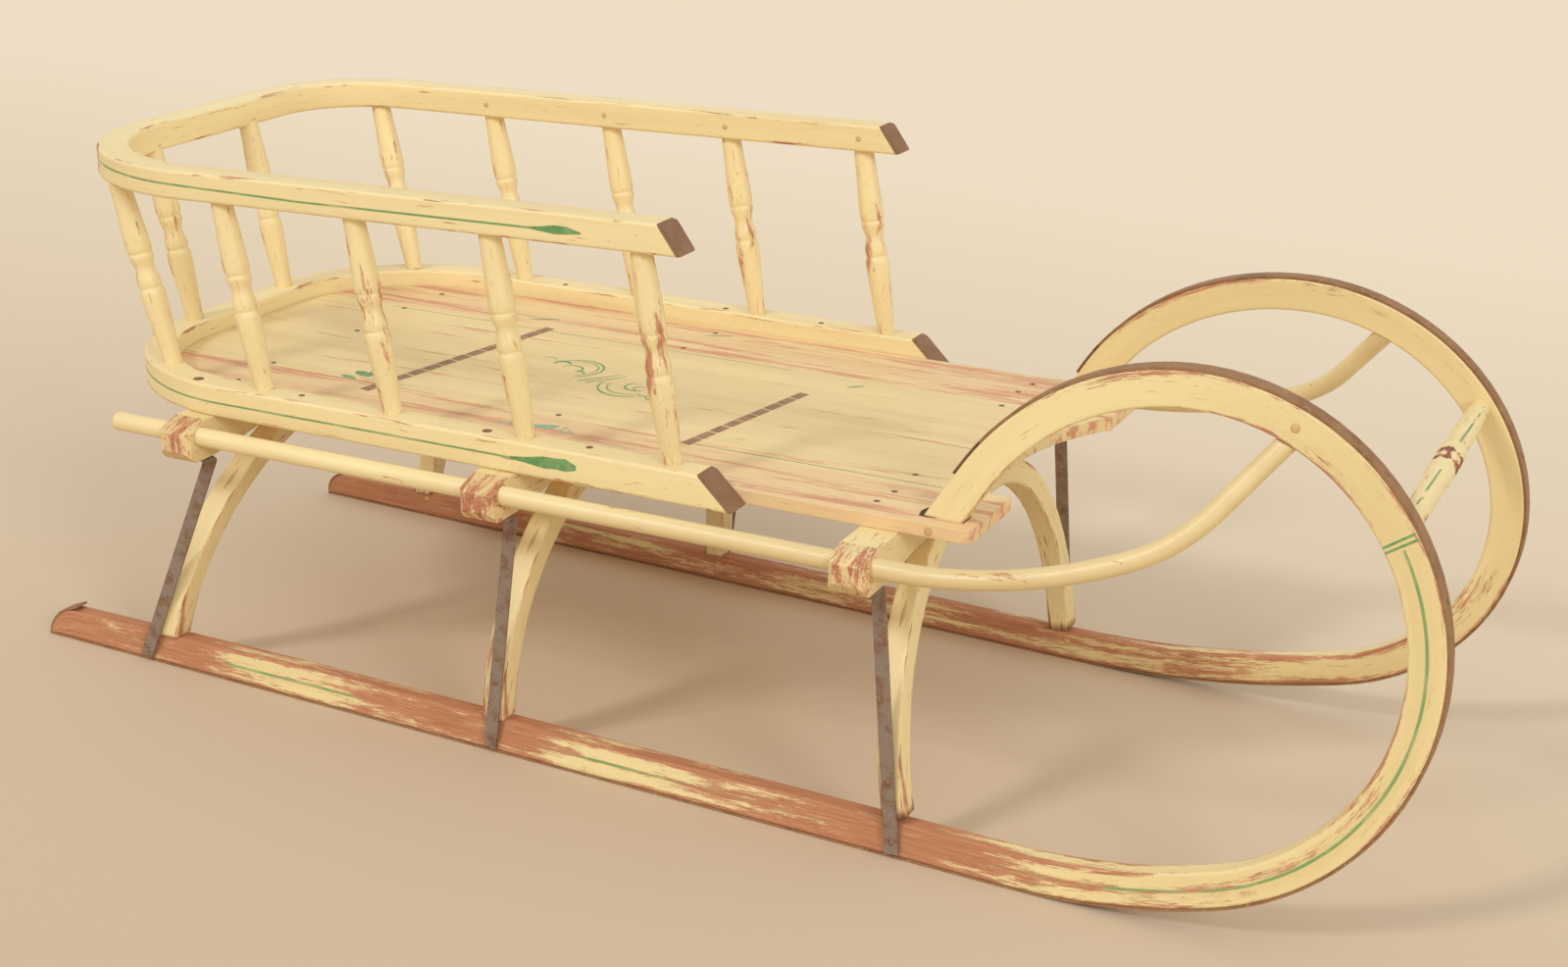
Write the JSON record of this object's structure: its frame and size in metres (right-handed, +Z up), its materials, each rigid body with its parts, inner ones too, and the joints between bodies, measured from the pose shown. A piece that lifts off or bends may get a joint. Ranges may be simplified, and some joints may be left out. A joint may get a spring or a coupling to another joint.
{
  "type": "runner sled",
  "caption": "Wooden runner sled with spindle-railed seat deck, high bentwood runner scrolls and side poles.",
  "frame": {"origin": "on the floor below the middle of the bounding box, between the two runners", "axes": "+X forward towards the scrolls, +Y to the left of a rider, +Z up"},
  "size_m": [1.5061, 0.6388, 0.5794],
  "materials": {
    "painted_wood": "worn cream oil paint over turned and bent ash",
    "worn_wood": "bare red-brown wood with patches of worn cream paint",
    "shoe_iron": "brown painted and rusted iron strip",
    "brace_iron": "dull grey-brown wrought iron strap"
  },
  "bodies": {
    "root": {"runner_left": "worn_wood", "runner_shoe_left": "shoe_iron", "runner_right": "worn_wood", "runner_shoe_right": "shoe_iron", "knee_rear": "painted_wood", "cross_beam_rear": "painted_wood", "knee_middle": "painted_wood", "cross_beam_middle": "painted_wood", "knee_front": "painted_wood", "cross_beam_front": "painted_wood", "pole_left": "painted_wood", "pole_right": "painted_wood", "brace_rear_left": "brace_iron", "brace_rear_right": "brace_iron", "brace_middle_left": "brace_iron", "brace_middle_right": "brace_iron", "brace_front_left": "brace_iron", "brace_front_right": "brace_iron", "deck_centre": "painted_wood", "deck_side_left": "painted_wood", "deck_side_right": "painted_wood", "lower_rail": "painted_wood", "upper_rail": "painted_wood", "spindle_side_1_left": "painted_wood", "spindle_side_1_right": "painted_wood", "spindle_side_2_left": "painted_wood", "spindle_side_2_right": "painted_wood", "spindle_side_3_left": "painted_wood", "spindle_side_3_right": "painted_wood", "spindle_side_4_left": "painted_wood", "spindle_side_4_right": "painted_wood", "spindle_corner_left": "painted_wood", "spindle_corner_right": "painted_wood", "spindle_back_left": "painted_wood", "spindle_back_right": "painted_wood", "front_bar": "painted_wood"}
  },
  "joints": []
}
